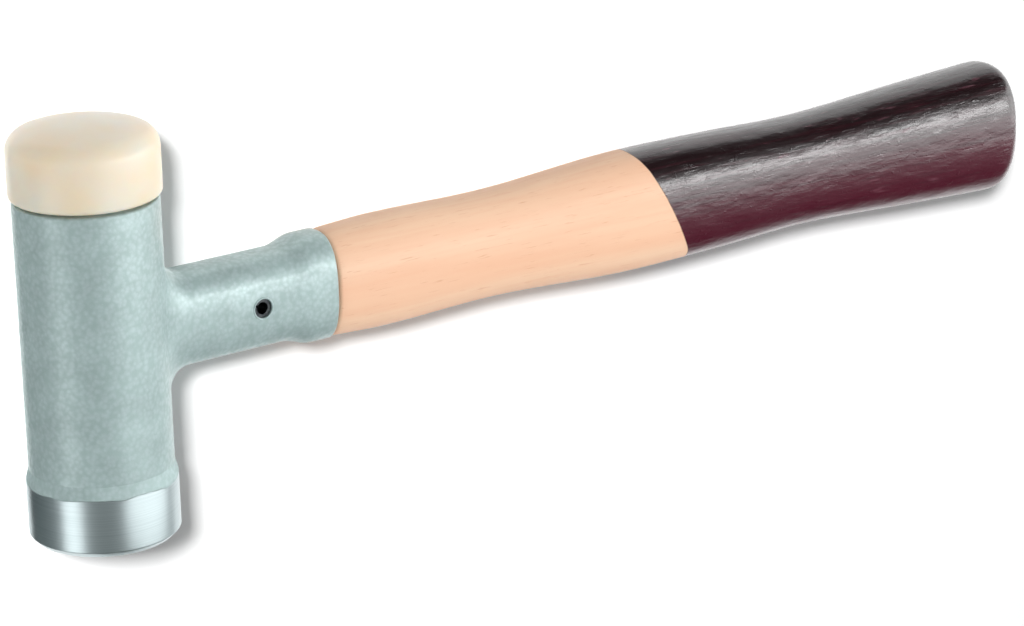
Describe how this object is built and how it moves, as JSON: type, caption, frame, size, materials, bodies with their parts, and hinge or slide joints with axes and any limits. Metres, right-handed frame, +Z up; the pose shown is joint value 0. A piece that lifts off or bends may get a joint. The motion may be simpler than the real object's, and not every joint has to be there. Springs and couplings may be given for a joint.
{
  "type": "dead blow hammer",
  "caption": "Dead blow hammer with a shot-filled painted steel head, a bright steel face, a nylon face and an oval wooden handle with a dark red lacquered grip.",
  "frame": {"origin": "centre of the steel striking face", "axes": "+X from the head along the handle to its butt, +Z up the head from the steel face to the nylon face"},
  "size_m": [0.2978, 0.0352, 0.0989],
  "materials": {
    "hammertone_paint": "mottled grey-green hammertone enamel, semi-gloss",
    "turned_steel": "bright, finely turned",
    "cream_nylon": "cream, slightly translucent, satin",
    "lacquered_wood": "pale clear-lacquered wood, dipped in gloss dark red at the grip",
    "spring_steel": "dark, rolled",
    "bright_shot": "plain steel balls"
  },
  "bodies": {
    "hammer": {"head_tube": "hammertone_paint", "handle_socket": "hammertone_paint", "steel_face": "turned_steel", "nylon_face": "cream_nylon", "closing_disc": "turned_steel", "handle": "lacquered_wood", "cross_pin": "spring_steel"},
    "shot_charge": {"shot_01": "bright_shot", "shot_02": "bright_shot", "shot_03": "bright_shot", "shot_04": "bright_shot", "shot_05": "bright_shot", "shot_06": "bright_shot", "shot_07": "bright_shot", "shot_08": "bright_shot", "shot_09": "bright_shot", "shot_10": "bright_shot", "shot_11": "bright_shot", "shot_12": "bright_shot", "shot_13": "bright_shot", "shot_14": "bright_shot", "shot_15": "bright_shot", "shot_16": "bright_shot", "shot_17": "bright_shot", "shot_18": "bright_shot", "shot_19": "bright_shot", "shot_20": "bright_shot", "shot_21": "bright_shot", "shot_22": "bright_shot", "shot_23": "bright_shot", "shot_24": "bright_shot"}
  },
  "joints": [
    {"name": "shot_slide", "type": "slide", "parent": "hammer", "child": "shot_charge", "axis": [0, 0, 1], "range_m": [0, 0.014]}
  ]
}
